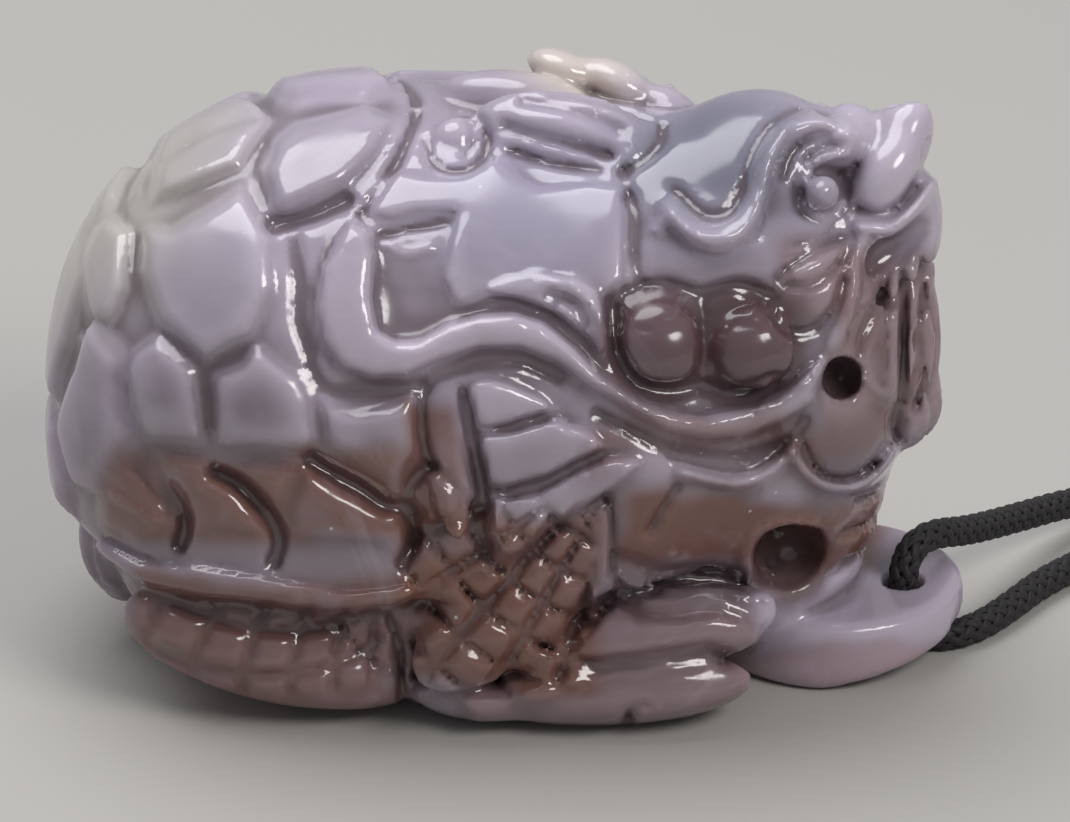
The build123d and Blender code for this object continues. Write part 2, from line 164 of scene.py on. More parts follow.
def braided_cord():
    """Round braid: carriers wind both ways round the line and pass over and under each other."""
    line, along = even(cord_line(), cord_spacing * MM)
    sides, ups = frames_along(line)
    radius = cord_diameter / 2 * MM
    lay = carrier_lay * MM
    size = yarn * MM
    vertices, faces, count = [], [], 0
    for carrier in range(carriers):
        way = 1 if carrier % 2 else -1
        start = 2 * math.pi * (carrier // 2) / (carriers / 2)
        turn = start + way * 2 * math.pi * along / lay
        weave = np.cos(carriers / 2 * (2 * math.pi * along / lay) + carrier % 2 * math.pi)
        out = sides * np.cos(turn)[:, None] + ups * np.sin(turn)[:, None]
        centre = line + out * (radius - size * yarn_sink + weave * size * yarn_weave)[:, None]
        heading = np.gradient(centre, axis=0)
        heading /= np.linalg.norm(heading, axis=1, keepdims=True)
        points, quads = tube(centre, yarn_half_width * MM, size * yarn_flat, out, np.cross(heading, out))
        vertices.append(points)
        faces.append(quads + count)
        count += len(points)
    core = radius - core_sink * size
    points, quads = tube(line, core, core, ups, sides)
    vertices.append(points)
    faces.append(quads + count)
    cord = mesh_object("braided_cord", np.vstack(vertices), np.vstack(faces))
    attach(cord, "root")
    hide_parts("cord")
    return cord


# Rounded masses: name, x, z, half length, half width, half height in columns, lanes and rows,
# squareness (2 is an ellipsoid), pitch and how softly it flows into what is there
MASSES = [
    ("shell", -4.8, 15.0, 21.4, 15.8, 18.8, 2.4, 0, 0.0),
    ("fore body", 10.3, 18.6, 13.0, 9.6, 15.4, 2.5, 0, 3.0),
    ("chest", 12.5, 9.0, 9.3, 9.6, 9.5, 2.1, 0, 2.0),
    ("tail", -22.7, 6.0, 2.6, 2.3, 4.0, 2.0, 8, 0.6),
    ("dome", 13.2, 30.9, 6.2, 6.2, 4.3, 2.0, 30, 0.8),
    ("crown", 16.0, 32.9, 4.2, 4.0, 1.9, 2.0, -4, 1.0),
    ("snout", 21.2, 29.2, 3.7, 4.4, 3.0, 2.0, 40, 1.5),
    ("muzzle", 22.2, 26.2, 3.0, 3.9, 3.4, 2.0, 0, 1.5),
    ("nose", 22.5, 32.5, 3.6, 2.6, 1.9, 2.0, 64, 0.5),
    ("forehead knob", 20.2, 34.0, 1.6, 1.9, 1.2, 2.0, -15, 0.5),
    ("lip", 23.7, 28.4, 2.4, 3.6, 1.6, 2.0, 84, 1.2),
    ("beard", 21.2, 20.2, 3.5, 4.8, 5.8, 2.0, -6, 1.2),
    ("beard edge", 23.6, 20.6, 1.8, 3.4, 4.8, 2.0, 0, 1.2),
    ("beard tip", 23.7, 15.8, 1.8, 2.8, 3.0, 2.0, -16, 1.0),
    ("chin", 20.4, 14.2, 2.8, 4.4, 2.0, 2.0, 8, 0.8),
]

# Lumps on the flank: name, column, row, lane off the middle plane, half sizes along, across and deep,
# turn in the drawing, softness
LUMPS = [
    ("nostril", 22, 26.6, -6, 2.5, 1.5, 1.4, 60, 0.9),
    ("eye", 18.3, 25.6, -8.1, 1, 1, 1.5, 0, 0.15),
    ("cheek", 17.6, 20.3, -9, 2.3, 2.6, 2.2, 30, 1),
    ("jaw", 12.3, 22.2, -9.6, 3.6, 2.6, 2.2, 5, 1.5),
    ("rear pearl", 8.8, 16.8, -13.7, 2.6, 2.6, 2, 0, 0.2),
    ("front pearl", 14.1, 16.8, -12.3, 2.6, 2.6, 2, 0, 0.2),
    ("upper toe", 8.6, 0, -11.6, 7.4, 2.6, 3, 13, 0.3),
    ("toe root", 3, -1.4, -12.8, 3.8, 2, 2.4, 28, 0.8),
    ("lower toe", 7, -3.2, -12.3, 7.4, 2.1, 2.8, 4, 0.3),
    ("leg", 0.6, 2, -13.2, 7.4, 3.3, 2.6, 40, 1.2),
    ("heel", -2.2, -3.4, -12.6, 3.6, 1.6, 2.2, -8, 0.6),
    ("hind leg", -14, -0.6, -11.4, 8.6, 3.3, 3, -14, 1.2),
    ("hind foot", -9.2, -3.2, -12, 3.6, 1.1, 1.9, -4, 0.4),
    ("side column", -3.4, 10.5, -15, 1.3, 5, 1.3, 8, 0.8),
]

# Lumps on one side only, in the same columns, lanes above 0 lying beyond the middle plane
SINGLE_LUMPS = [
    ("brow", 18.2, 28.3, -5.2, 2.8, 1.4, 1.6, 12, 0.9),
    ("far brow", 19.2, 29.2, -1.6, 2.4, 1.3, 1.6, 4, 1.2),
    ("mane", 3.6, 29.2, -2.8, 5.4, 2.3, 2.3, -8, 1.6),
    ("far mane", 0.6, 31.4, 2.2, 4.2, 1.5, 2.6, -6, 1),
    ("far lock", 3.5, 32.9, 4.6, 2.4, 1.15, 2.4, -22, 0.3),
    ("far middle lock", 6.8, 32, 3.8, 2.6, 1.25, 2.4, -30, 0.6),
    ("far front lock", 9.7, 30.6, 2.8, 2.1, 1.15, 2.2, -32, 0.3),
    ("mane curl", -2.8, 28.6, -3.4, 1.5, 1.45, 1.3, 0, 0.1),
]

# Hollows sunk from the flank, in the same columns as the lumps
HOLLOWS = [
    ("pit", 16.7, 4.5, -9.2, 2.3, 2.2, 4.2, 0, 0.5),
    ("mouth corner", 19.5, 14.9, -10.4, 1.25, 1.25, 3.4, 0, 0.3),
    ("panel", -5.6, 20, -13.6, 2.4, 3, 1.5, -8, 1.2),
    ("mouth", 23, 22.5, -6.6, 2.5, 1.3, 1.4, 34, 1),
]

# Raised outlines on the flank: name, rise, bevel, spread past the corners, corners in columns and rows
SCUTE = 0.9, 1.3, 0.4
LEAF = 0.6, 1.0, 0.1
OUTLINES = [
    ("back scute", *SCUTE,
     [(-21, 23.6), (-19.4, 23.7), (-15.2, 26), (-13.5, 23.1), (-13.3, 20), (-14.5, 17.3), (-17.4, 15.8),
      (-20.1, 18.1), (-21.2, 21)]),
    ("side scute", *SCUTE,
     [(-17, 15.1), (-15.2, 15.9), (-14.4, 17), (-11.9, 15), (-11.1, 13.6), (-10.9, 11.4), (-11.6, 10.6),
      (-16.8, 10.8), (-17, 12.5)]),
    ("hip scute", *SCUTE,
     [(-20.1, 17.5), (-17.9, 15.6), (-17.4, 13.2), (-17.4, 11.1), (-20.9, 11.3), (-21.9, 13.2),
      (-22.2, 15.5), (-21.7, 16.5)]),
    ("tail scute", *SCUTE,
     [(-24.7, 17.5), (-23.6, 17), (-22.7, 14.5), (-22.7, 12.5), (-23.6, 11.2), (-24.5, 12.5)]),
    ("rump scute", *SCUTE,
     [(-25.2, 23.6), (-23.4, 25), (-21.7, 23.5), (-21.9, 20), (-22.8, 17.9), (-24.3, 18.4), (-25.3, 21)]),
    ("top scute", *SCUTE,
     [(-14.1, 27), (-13.4, 28.9), (-12.3, 29.7), (-8.1, 30.9), (-6.5, 29.9), (-7.3, 27.9), (-9.2, 26.1),
      (-12.6, 24.5), (-13.3, 24.6)]),
    ("ridge scute", *SCUTE,
     [(-20.6, 25), (-15.3, 27.1), (-14.1, 29.2), (-13.6, 30.4), (-17.5, 29.6), (-20.6, 27.6)]),
    ("far ridge scute", 0.5, 1.3, 0.2,
     [(-23.3, 25.6), (-21.3, 25.4), (-21.2, 27.9), (-18.2, 30.2), (-20.5, 29.5), (-22.6, 27.6)]),
    ("crest scute", *SCUTE,
     [(-13.2, 31), (-8.1, 31.9), (-5.6, 31.2), (-2, 31.5), (-2, 34.5), (-12, 34.5)]),
    ("shoulder scute", *SCUTE,
     [(-10.6, 13.9), (-9.8, 13.3), (-8.6, 13.1), (-6.6, 13.4), (-5.3, 13.9), (-5, 12.5), (-4.9, 10.8),
      (-6.4, 8.4), (-10.1, 10.7), (-10.4, 11.6)]),
    ("collar", 0.5, 0.8, 0.1,
     [(-5.4, 29.9), (-6.4, 27.4), (-8, 25), (-8.4, 24.2), (-9, 24.6), (-7.6, 27.2), (-6.3, 29.8),
      (-6.3, 30.6)]),
    ("rear edge leaf", *LEAF,
     [(-24.2, 10.5), (-22.4, 10.9), (-20.3, 8.5), (-19.2, 6.8), (-19.8, 5.8), (-21.5, 4.9), (-24, 6.2)]),
    ("middle edge leaf", *LEAF,
     [(-20.4, 10.6), (-17.6, 10.4), (-16, 9), (-14.2, 7), (-13.9, 5.6), (-18.2, 6), (-18, 7),
      (-19.2, 8.6)]),
    ("upper edge leaf", *LEAF,
     [(-16.3, 10.1), (-12.1, 9.9), (-12.7, 7.7), (-13.3, 7.1), (-14.9, 8.8)]),
    ("front edge leaf", *LEAF,
     [(-11.6, 9.9), (-10.2, 8.9), (-7.2, 7.3), (-6.1, 6), (-6.2, 5), (-12.4, 5.3), (-12.5, 6.2),
      (-12.6, 7.4)]),
    ("rim", 0.9, 0.7, 0.1,
     [(-24.5, 5), (-22.2, 3.2), (-20.9, 2.6), (-18, 2), (-15.2, 1.8), (-12.2, 1.4), (-9.8, 1.1),
      (-6.8, 1.4), (-4.5, 2.2), (-2.1, 3.3), (0.6, 4.1), (0.9, 4.6), (-1.5, 4.2), (-4.5, 3.4), (-6.8, 2.9),
      (-9.2, 2.7), (-12.1, 3.2), (-15.1, 3.7), (-18.3, 4.2), (-21, 4.3), (-23.6, 5.6)]),
    ("whisker", 1.25, 0.7, 0.1,
     [(-8.9, 24.2), (-9.6, 23.4), (-10.6, 21.3), (-11, 18.9), (-10.6, 16.9), (-9.5, 15.4), (-7.7, 14.8),
      (-5.6, 14.9), (-3.9, 15.7), (-1.5, 16.5), (0.8, 16.5), (2.9, 15.7), (4.9, 14.2), (7.3, 12.8),
      (9.1, 11.7), (11.4, 11.2), (13.8, 11.3), (16.1, 12.2), (17.9, 13.4), (18.8, 16.6), (17.9, 15.8),
      (16.1, 14.5), (14.4, 13.6), (11.4, 12.9), (10.2, 13), (7.9, 13.7), (5.5, 15.3), (4.1, 16.8),
      (2.3, 18.3), (0.5, 18.9), (-1.5, 18.7), (-3.3, 18.2), (-5.1, 17.2), (-6.2, 17.2), (-7.2, 17.8),
      (-7.5, 19.5), (-7.4, 21.9), (-7.7, 23.4)]),
    ("curl", 1.0, 0.7, 0.1,
     [(-1.4, 19.6), (-1.2, 20.5), (0.2, 21.1), (2, 21.4), (4.3, 21), (5.4, 20.2), (6, 18.8), (6.2, 16.8),
      (5.6, 15.9), (4.6, 17.2), (2.6, 18.6), (0.6, 19.3)]),
    ("neck plate", 0.5, 0.6, 0.1,
     [(-8.2, 24.3), (-7.7, 26.4), (-6.3, 27), (-4, 26.7), (-2, 26.9), (-0.9, 27.7), (0, 27.6), (0.9, 26.5),
      (2, 26), (5, 26.3), (6.8, 26), (7, 24), (6.9, 20.4), (5.4, 19.2), (2, 19.8), (-0.6, 19.4),
      (-2.2, 18.9), (-3, 19), (-3.7, 20.6), (-3.3, 22.6), (-2.9, 24.4), (-5, 24.4), (-6.6, 24)]),
    ("upper flame", 0.8, 0.5, 0.1,
     [(-2.3, 14.7), (-1, 14.9), (0, 14.8), (2, 13.9), (3.2, 13.1), (2, 12.8), (0, 12.1), (-1.6, 11.9)]),
    ("middle flame", 1.0, 0.5, 0.1,
     [(-1.6, 11.6), (0, 11.8), (3.3, 12.7), (3.5, 12.3), (5.1, 11.8), (6, 11), (5, 10.5), (2.5, 9.2),
      (0, 8.5), (-1, 8.6)]),
    ("lower flame", 1.1, 0.5, 0.1,
     [(-0.9, 8.2), (0.3, 8), (2, 8.4), (4.3, 9.7), (6.2, 10.4), (8.2, 10.3), (7, 9), (5.5, 8), (3.1, 6.1),
      (2.7, 7), (1.6, 5.2), (0, 4.2), (-1, 5.5)]),
    ("upper toe face", 0.7, 0.6, 0.1,
     [(0.6, -2.9), (3.4, -1.8), (6, -1.4), (9, -1), (11.8, -0.6), (13.6, -1.2), (14.9, -0.6), (15, 0.2),
      (13.9, 0.9), (12.4, 1.3), (10, 0.9), (7.6, 1), (6.5, 1.9), (4.8, 0.8), (2.4, -1.2)]),
    ("lower toe face", 0.6, 0.6, 0.1,
     [(-3, -3.6), (0.2, -3.4), (3.2, -2.3), (6, -2.1), (9, -1.7), (11.8, -1.3), (13.4, -1.9), (14.2, -2.8),
      (13.3, -4), (11, -4.8), (7.4, -5.3), (7.1, -4.5), (6.6, -5.2), (3, -5.4), (-2, -5.2)]),
    ("dome edge", 0.5, 0.5, 0.1,
     [(8.2, 23.2), (8.6, 24.2), (9.3, 24.6), (9.7, 24.9), (10.2, 24.1), (11.1, 23.4), (12.2, 23.2),
      (13.3, 23.5), (14.1, 24.5), (14.6, 26), (14.9, 28), (15.7, 29.4), (16.6, 29.9), (16.4, 28.9),
      (15.8, 27.6), (15.2, 26), (14.8, 24.3), (14, 22.9), (13, 22), (12, 21.8), (10.9, 22.1), (10.2, 22.9),
      (9.5, 23.6), (8.9, 23)]),
]

# Raised outlines on the rump, seen from behind: name, rise, bevel, spread, corners in lanes and rows
REAR_OUTLINES = [
    ("rear scute", *SCUTE,
     [(4.6, 26), (5.4, 21), (3.8, 16.4), (-3.8, 16.4), (-5.4, 21), (-4.6, 26)]),
    ("low rear scute", *SCUTE,
     [(3.4, 15.2), (6.2, 12.4), (5.6, 10), (-5.6, 10), (-6.2, 12.4), (-3.4, 15.2)]),
    ("rear side scute", *SCUTE,
     [(-6.6, 24), (-6.8, 20.6), (-5, 15.8), (-7.4, 12.8), (-10.6, 13.6), (-12, 18.4), (-10.4, 22.6)]),
]
rear_start = -19.0

# Carved lines on the flank: name, rise (a groove below 0), half width, points in columns and rows
LINES = [
    ("collar line", -0.5, 0.6, [(-5.2, 30.1), (-6.2, 27.6), (-7.6, 25.2), (-8.3, 24.3)]),
    ("neck groove", -0.35, 0.6, [(7.3, 25.4), (7.5, 24), (7.5, 22), (7.9, 20.2)]),
    ("short neck groove", -0.35, 0.55, [(6.9, 27), (7, 26), (7.1, 25)]),
    ("mane strand a", -0.5, 0.55, [(2.6, 31.5), (4.6, 31.2), (6.6, 30.7), (8.2, 29.9)]),
    ("mane strand b", -0.5, 0.6, [(1, 30.9), (3, 30.6), (5, 30), (6.6, 29.3)]),
    ("mane strand c", -0.55, 0.65, [(0, 29.5), (2, 28.9), (4, 28.4), (6, 27.8)]),
    ("mane strand d", -0.4, 0.5, [(0.4, 28.1), (1.8, 27.6), (3.6, 27.2), (5.4, 27)]),
    ("mane end", -0.45, 0.65, [(6.6, 26.7), (8, 27.5), (8.9, 28.5), (9, 29.6)]),
    ("mane curl bed", -0.4, 0.45,
     [(-4.6, 28.6), (-4.1, 27.3), (-2.8, 26.8), (-1.5, 27.4), (-1, 28.7), (-1.5, 30)]),
    ("mane curl leaf", -0.25, 0.3, [(-2.3, 29.8), (-1.8, 28.8), (-2.3, 27.6)]),
    ("panel lid", 0.35, 0.35, [(-6.9, 22.7), (-5.9, 22.1), (-4.4, 22.4)]),
    ("panel notch", -0.45, 0.45, [(-7, 23.1), (-5.4, 23.5), (-3.6, 23.8)]),
    ("shell fall", -0.7, 0.9, [(-13.3, 23.7), (-11.5, 24.1), (-9.2, 25.1)]),
    ("shell side", -0.5, 0.8, [(-12.2, 22.8), (-11.9, 20.5), (-11.9, 18.2), (-11.3, 16.4)]),
    ("whisker bed", -0.4, 0.6,
     [(-11.2, 15.6), (-10.2, 14.3), (-8, 14.2), (-5.4, 14.3), (-3.5, 15), (-1.4, 15.8), (0.9, 15.8),
      (3, 14.9)]),
    ("front whisker bed", -0.5, 0.6,
     [(5.2, 12.9), (7.3, 11.8), (9.2, 10.9), (11.5, 10.4), (13.8, 10.4), (16.2, 11.2), (17.4, 12.4)]),
    ("curl hollow", -0.6, 0.6, [(2.6, 19.6), (3.9, 19.2), (4.6, 18.1)]),
    ("curl line", 0.35, 0.25, [(1.4, 20), (2.6, 20.4), (4, 20), (5.2, 18.9), (5.8, 17.4)]),
    ("pearl bed", -0.7, 0.8,
     [(6.2, 19), (6.4, 16.6), (7.6, 14.6), (9.6, 14.1), (11.3, 14.4), (13.2, 14), (15.4, 14.8)]),
    ("pearl roof", -0.5, 0.7, [(7, 19.8), (9, 20.4), (11.2, 19.8), (13.4, 20.3), (15.4, 19.6)]),
    ("between pearls", -0.3, 0.5, [(11.4, 19.4), (11.4, 17), (11.4, 14.8)]),
    ("rear pearl swirl", -0.16, 0.4, [(7.6, 17.6), (9, 17.9), (10.2, 18.4), (11, 19)]),
    ("front pearl swirl", -0.16, 0.4, [(12.3, 17.4), (13.4, 18), (14.8, 18), (15, 19.2)]),
    ("brow band", 0.9, 1.0,
     [(9.5, 24.7), (10.8, 23.5), (12.1, 23.1), (13.6, 23.8), (14.5, 25.4), (14.9, 27.2), (15.8, 28.6),
      (17.1, 29.5), (18.6, 29.6), (19.6, 28.9)]),
    ("dome foot", -0.3, 0.6,
     [(9.7, 25.9), (10.9, 24.6), (12.1, 24.2), (13.1, 24.7), (13.8, 26), (14.2, 27.7), (15.2, 29.4),
      (16.9, 30.5)]),
    ("eye socket", -0.3, 0.5,
     [(18.3, 27.1), (17.2, 26.7), (16.8, 25.6), (17.2, 24.5), (18.3, 24.1), (19.4, 24.5), (19.8, 25.6),
      (19.4, 26.7), (18.3, 27.1)]),
    ("upper lid", 0.5, 0.42, [(17.1, 26.2), (17.6, 27.1), (18.4, 27.6), (19.7, 27.9)]),
    ("lid crease", -0.4, 0.4, [(17.3, 27.5), (18.2, 28.2), (19.6, 28.6)]),
    ("lower lid", 0.45, 0.4, [(17.2, 24.9), (18.2, 24.25), (19.1, 24.35), (19.6, 25.1)]),
    ("brow crease", -0.4, 0.42, [(16, 26.5), (16.6, 28), (17.8, 28.9), (19.3, 29.2)]),
    ("knob crease", -0.5, 0.35, [(17.9, 31.4), (18.2, 30.5), (18.8, 30), (19.4, 29.6)]),
    ("lip ridge", 0.8, 0.55,
     [(20.4, 23.6), (21.4, 23.5), (22.3, 23.5), (23.2, 24.2), (24.1, 25.2), (24.8, 26.2)]),
    ("above lip", -0.5, 0.5, [(20.4, 24.7), (21.6, 24.4), (22.8, 24.9), (23.8, 26)]),
    ("jaw strut", 0.5, 0.55, [(20.6, 23), (20.3, 21.6), (20.2, 20), (19.7, 18.2), (18.9, 16.9)]),
    ("cheek line", -0.4, 0.45, [(15.6, 20.7), (16.7, 21.6), (18.2, 22.5), (19.4, 23)]),
    ("lower cheek line", -0.4, 0.45, [(16.2, 20.3), (17.5, 20.2), (18.7, 20.9), (19.5, 21.9)]),
    ("cheek lens", 0.3, 0.5, [(16.7, 20.9), (17.9, 21.4), (19.2, 22.2)]),
    ("cheek wrinkle", -0.3, 0.4, [(16.6, 22.6), (17.6, 22.9), (18.8, 23.4)]),
    ("cheek foot", -0.5, 0.5, [(15.4, 18.4), (16.3, 17.5), (17.8, 17.8), (19, 19), (19.5, 20.6)]),
    ("beard line", -0.7, 0.4, [(23, 21), (23.2, 19.5), (23.15, 17), (23.1, 13.6)]),
    ("beard side", 0.4, 0.4, [(22.4, 20.6), (22.6, 18.8), (22.5, 16.4), (22.6, 14.4)]),
    ("beard plane", -0.4, 0.5, [(22.2, 20.6), (21.2, 18.8), (20.5, 17.2), (20.4, 16.4)]),
    ("beard strand a", -0.6, 0.4, [(24.1, 21.8), (24.3, 20.2), (24.1, 18.4)]),
    ("beard strand b", -0.6, 0.4, [(24, 17.2), (24.3, 15.4), (23.9, 13)]),
    ("beard edge line", 0.45, 0.35, [(20.8, 14.9), (21.6, 14.2), (22.8, 13.8)]),
    ("chin side", -0.4, 0.45, [(22.9, 13.4), (22.6, 12.4), (22.9, 11.4)]),
    ("chin arc", 0.7, 0.45,
     [(16.5, 11), (17.2, 9.7), (18.3, 8.8), (19.8, 8.5), (21.1, 8.9), (22.2, 9.9), (22.8, 10.9)]),
    ("chin groove", -0.5, 0.4, [(17.2, 11.2), (17.8, 9.9), (18.9, 9.1), (20.4, 9.2), (21.6, 10)]),
    ("chest fold", 0.9, 0.6, [(10.2, 9.5), (11.5, 9.1), (13.3, 8.8), (15, 9.3), (16.6, 10.7)]),
    ("chest under whisker", -0.4, 0.5, [(9.4, 10.4), (11, 10), (13, 9.7), (15, 10.1), (16.4, 11.2)]),
    ("chest edge", -0.5, 0.45, [(23.3, 9.4), (22.8, 7.4), (22, 5.4), (20.6, 4.2), (18.8, 3.2)]),
    ("chest left", -0.5, 0.55, [(8.3, 6), (9.2, 7.5), (10, 8.7)]),
    ("chest low", -0.5, 0.9, [(6.6, 4.4), (9, 3.6), (12, 3.5), (14.6, 2.9)]),
    ("chest low line", 0.35, 0.25, [(6.4, 3.6), (7.5, 2.9), (10, 2.6), (12.7, 2.6), (15.3, 1.9)]),
    ("pit rim", 0.4, 0.4,
     [(15.4, 2), (14.4, 2.8), (14, 3.9), (14.1, 5.1), (14.9, 6.1), (16.2, 6.5), (18, 6.4)]),
    ("upper toe shelf", 0.35, 0.45,
     [(6.4, 2.8), (7.4, 2), (9.6, 2), (11.6, 2.2), (13.4, 1.6), (14.8, 0.8)]),
    ("toe line", -0.3, 0.35, [(7.2, -4.5), (8, -4.1), (8.9, -3.8)]),
    ("toe notch", -0.7, 0.4, [(7.2, -5.6), (7.25, -4.7)]),
    ("heel crease", -0.5, 0.35, [(-0.6, -2.4), (1, -2.3), (2.5, -1.7), (4.5, -0.3), (6.3, 2.5)]),
    ("leg front", -0.6, 0.4, [(5.9, 8), (6.2, 6), (6.2, 4), (6.6, 2.6)]),
    ("leg top", -0.5, 0.5, [(-5, 2.8), (-2, 3.6), (0.4, 4.2), (2, 5.3), (3, 6.2), (4.5, 7.4), (5.8, 8)]),
    ("diamond", -0.5, 0.6, [(-5.6, 8.6), (-4.3, 9.8), (-2.9, 8.6), (-1.4, 6), (-1.2, 4.8)]),
    ("low diamond", -0.5, 0.55, [(-5.6, 8), (-5.2, 6.2), (-5.5, 4.9)]),
    ("column left", -0.5, 0.6, [(-4.6, 14.4), (-4.9, 12.8), (-4.7, 11), (-4.2, 9.9)]),
    ("column right", -0.5, 0.6, [(-2.5, 14.2), (-2, 11.5), (-1.5, 9.2), (-1.2, 7.2)]),
    ("rear leaf ridge", 0.3, 0.3, [(-23, 8.2), (-21.6, 7.4), (-20.3, 6.5)]),
    ("rear leaf low ridge", 0.3, 0.3, [(-23.4, 6), (-22, 5.2), (-20.5, 4.7)]),
    ("rear leaf edge", -0.9, 0.8, [(-20.2, 8.6), (-19.2, 7.6), (-18.6, 6.4), (-18.9, 5.2)]),
    ("middle leaf edge", -0.9, 0.8,
     [(-16.9, 9.4), (-15.4, 8.8), (-14.2, 7.6), (-13.4, 6.5), (-13.1, 5.4), (-13.4, 4.3)]),
    ("front leaf edge", -0.9, 0.8,
     [(-11.2, 10.2), (-9.8, 9.3), (-8.3, 8.5), (-7, 7.6), (-6, 7.4), (-5.5, 6.5), (-5.4, 5.2), (-6, 4.2)]),
    ("hind split", -0.6, 0.4, [(-6.9, 1.2), (-6.3, -0.5), (-6.1, -2.5), (-6, -4.2)]),
    ("hind crease", -0.4, 0.3, [(-10, 1), (-9, -0.3), (-8.2, -1.4), (-7, -2)]),
]

# Carved lines on the ends: name, side (1 for the front, -1 for the rump), rise, half width, points in lanes
# off the middle plane and rows
END_LINES = [
    ("mouth slot", 1, -0.9, 0.7, [(0, 25.9), (-2, 25.6), (-3.8, 24.6)]),
    ("nostril", 1, -0.7, 0.7, [(-1, 33.4), (-1.3, 33.2)]),
    ("middle beard strand", 1, -0.6, 0.5, [(0, 23.6), (0, 18), (0, 13.2)]),
    ("inner beard strand", 1, -0.55, 0.5, [(-1.5, 23.4), (-1.8, 18.5), (-1.3, 13.6)]),
    ("outer beard strand", 1, -0.5, 0.5, [(-2.9, 22.4), (-3.3, 18.5), (-2.6, 14.4)]),
    ("upper chest band", 1, -0.6, 0.5, [(0, 10.7), (-3, 11), (-6, 11.9)]),
    ("middle chest band", 1, -0.6, 0.5, [(0, 8.5), (-3, 8.8), (-6.5, 9.8)]),
    ("lower chest band", 1, -0.6, 0.5, [(0, 6.3), (-3, 6.5), (-6, 7.3)]),
    ("middle tail strand", -1, -0.4, 0.45, [(0, 9), (0, 5.5), (0, 2.6)]),
    ("side tail strand", -1, -0.4, 0.45, [(-1.2, 8.4), (-1.3, 5.5), (-0.9, 3)]),
]

# Scales on the legs: name, depth, fan centre, corners of the patch, angle and distance between lines,
# slant (1 for a net, 0 for ladders)
SCALES = [
    ("fore leg", 0.75, (7.6, 11.4), (-6.0, -3.6), (5.6, 8.0), 12.0, 2.2, 0),
    ("hind leg", 0.5, (-3.6, 6.6), (-22.6, -4.0), (-6.6, 2.4), 15.0, 4.2, 1),
]
# Half width of a scale's line and how much finer a ladder's rungs are, in cells; soft border of the patch
scale_line, rung_gap, scale_border = 0.24, 0.04, 1.0
# Depth of skin that the relief moves, and where it fades in: turn to the viewer, lanes beyond the head
relief_depth = 2.2
turned_away, turn_fade = -0.02, 0.4
far_column, far_lane, far_fade = -5, 5, 3
# Lines on the ends are cut past this column, and fade in as the skin turns to the end
end_column, end_turn, end_fade = 14, 0.2, 0.3
# How far round a point the stone is averaged to find its grooves: depth of skin, cells of each pass
groove_depth, groove_cells = 2, (2, 2, 3)


def softer(a, b, softness):
    """Union of two fields that flow into each other."""
    if softness <= 0:
        return np.minimum(a, b)
    overlap = np.maximum(softness - np.abs(a - b), 0) / softness
    return np.minimum(a, b) - overlap ** 2 * softness / 4


def ramp(share):
    share = np.clip(share, 0, 1)
    return share * share * (3 - 2 * share)


def hump(share):
    share = np.clip(share, 0, 1)
    return (1 - share * share) ** 2


def lean(x, z):
    """Lanes by which the head lies off the stone's middle plane."""
    return -head_lean * ramp((x - lean_column) / lean_columns) * ramp((z - lean_row) / lean_rows)


def mass(x, y, z, centre_x, centre_z, half_x, half_y, half_z, squareness, pitch):
    cos_pitch, sin_pitch = math.cos(math.radians(pitch)), math.sin(math.radians(pitch))
    along = (x - centre_x) * cos_pitch + (z - centre_z) * sin_pitch
    above = (z - centre_z) * cos_pitch - (x - centre_x) * sin_pitch
    reach = (np.abs(along / half_x) ** squareness + np.abs(y / half_y) ** squareness
             + np.abs(above / half_z) ** squareness) ** (1 / squareness)
    return np.sqrt(along ** 2 + y ** 2 + above ** 2) * (1 - 1 / np.maximum(reach, 0.05))


def lump(x, y, z, at_x, at_row, at_lane, along, across, deep, turn):
    """An ellipsoid whose middle is drawn at (at_x, at_row) and whose axes lie in the drawing."""
    at_z = (at_row - at_lane * SIN) / COS
    up = (y - at_lane) * SIN + (z - at_z) * COS
    out = (z - at_z) * SIN - (y - at_lane) * COS
    cos_turn, sin_turn = math.cos(math.radians(turn)), math.sin(math.radians(turn))
    a = ((x - at_x) * cos_turn + up * sin_turn) / along
    b = (up * cos_turn - (x - at_x) * sin_turn) / across
    c = out / deep
    near = np.sqrt(a * a + b * b + c * c)
    slope = np.sqrt((a / along) ** 2 + (b / across) ** 2 + (c / deep) ** 2)
    return near * (near - 1) / np.maximum(slope, 1e-4)


def smooth_curve(points, steps=6):
    """Curve through the drawn points."""
    p = np.array(points, float)
    if len(p) < 3:
        return p
    p = np.vstack([2 * p[0] - p[1], p, 2 * p[-1] - p[-2]])
    out = []
    for a, b, c, d in zip(p, p[1:], p[2:], p[3:]):
        for s in np.arange(steps) / steps:
            out.append(0.5 * (2 * b + (c - a) * s + (2 * a - 5 * b + 4 * c - d) * s * s
                              + (3 * b - a - 3 * c + d) * s ** 3))
    out.append(p[-2])
    return np.array(out)


def off_line(x, up, line):
    nearest = np.full(x.shape, np.inf)
    for (x0, up0), (x1, up1) in zip(line, line[1:]):
        dx, dup = x1 - x0, up1 - up0
        share = np.clip(((x - x0) * dx + (up - up0) * dup) / max(dx * dx + dup * dup, 1e-9), 0, 1)
        nearest = np.minimum(nearest, (x - x0 - share * dx) ** 2 + (up - up0 - share * dup) ** 2)
    return np.sqrt(nearest)


def inside_by(x, up, corners):
    """How far a drawn point lies inside a closed outline, below 0 outside it."""
    ring = np.array(corners + corners[:1], float)
    inside = np.zeros(x.shape, bool)
    for (x0, up0), (x1, up1) in zip(ring, ring[1:]):
        if up0 != up1:
            inside ^= ((up0 > up) != (up1 > up)) & (x < x0 + (up - up0) * (x1 - x0) / (up1 - up0))
    return np.where(inside, 1, -1) * off_line(x, up, ring)


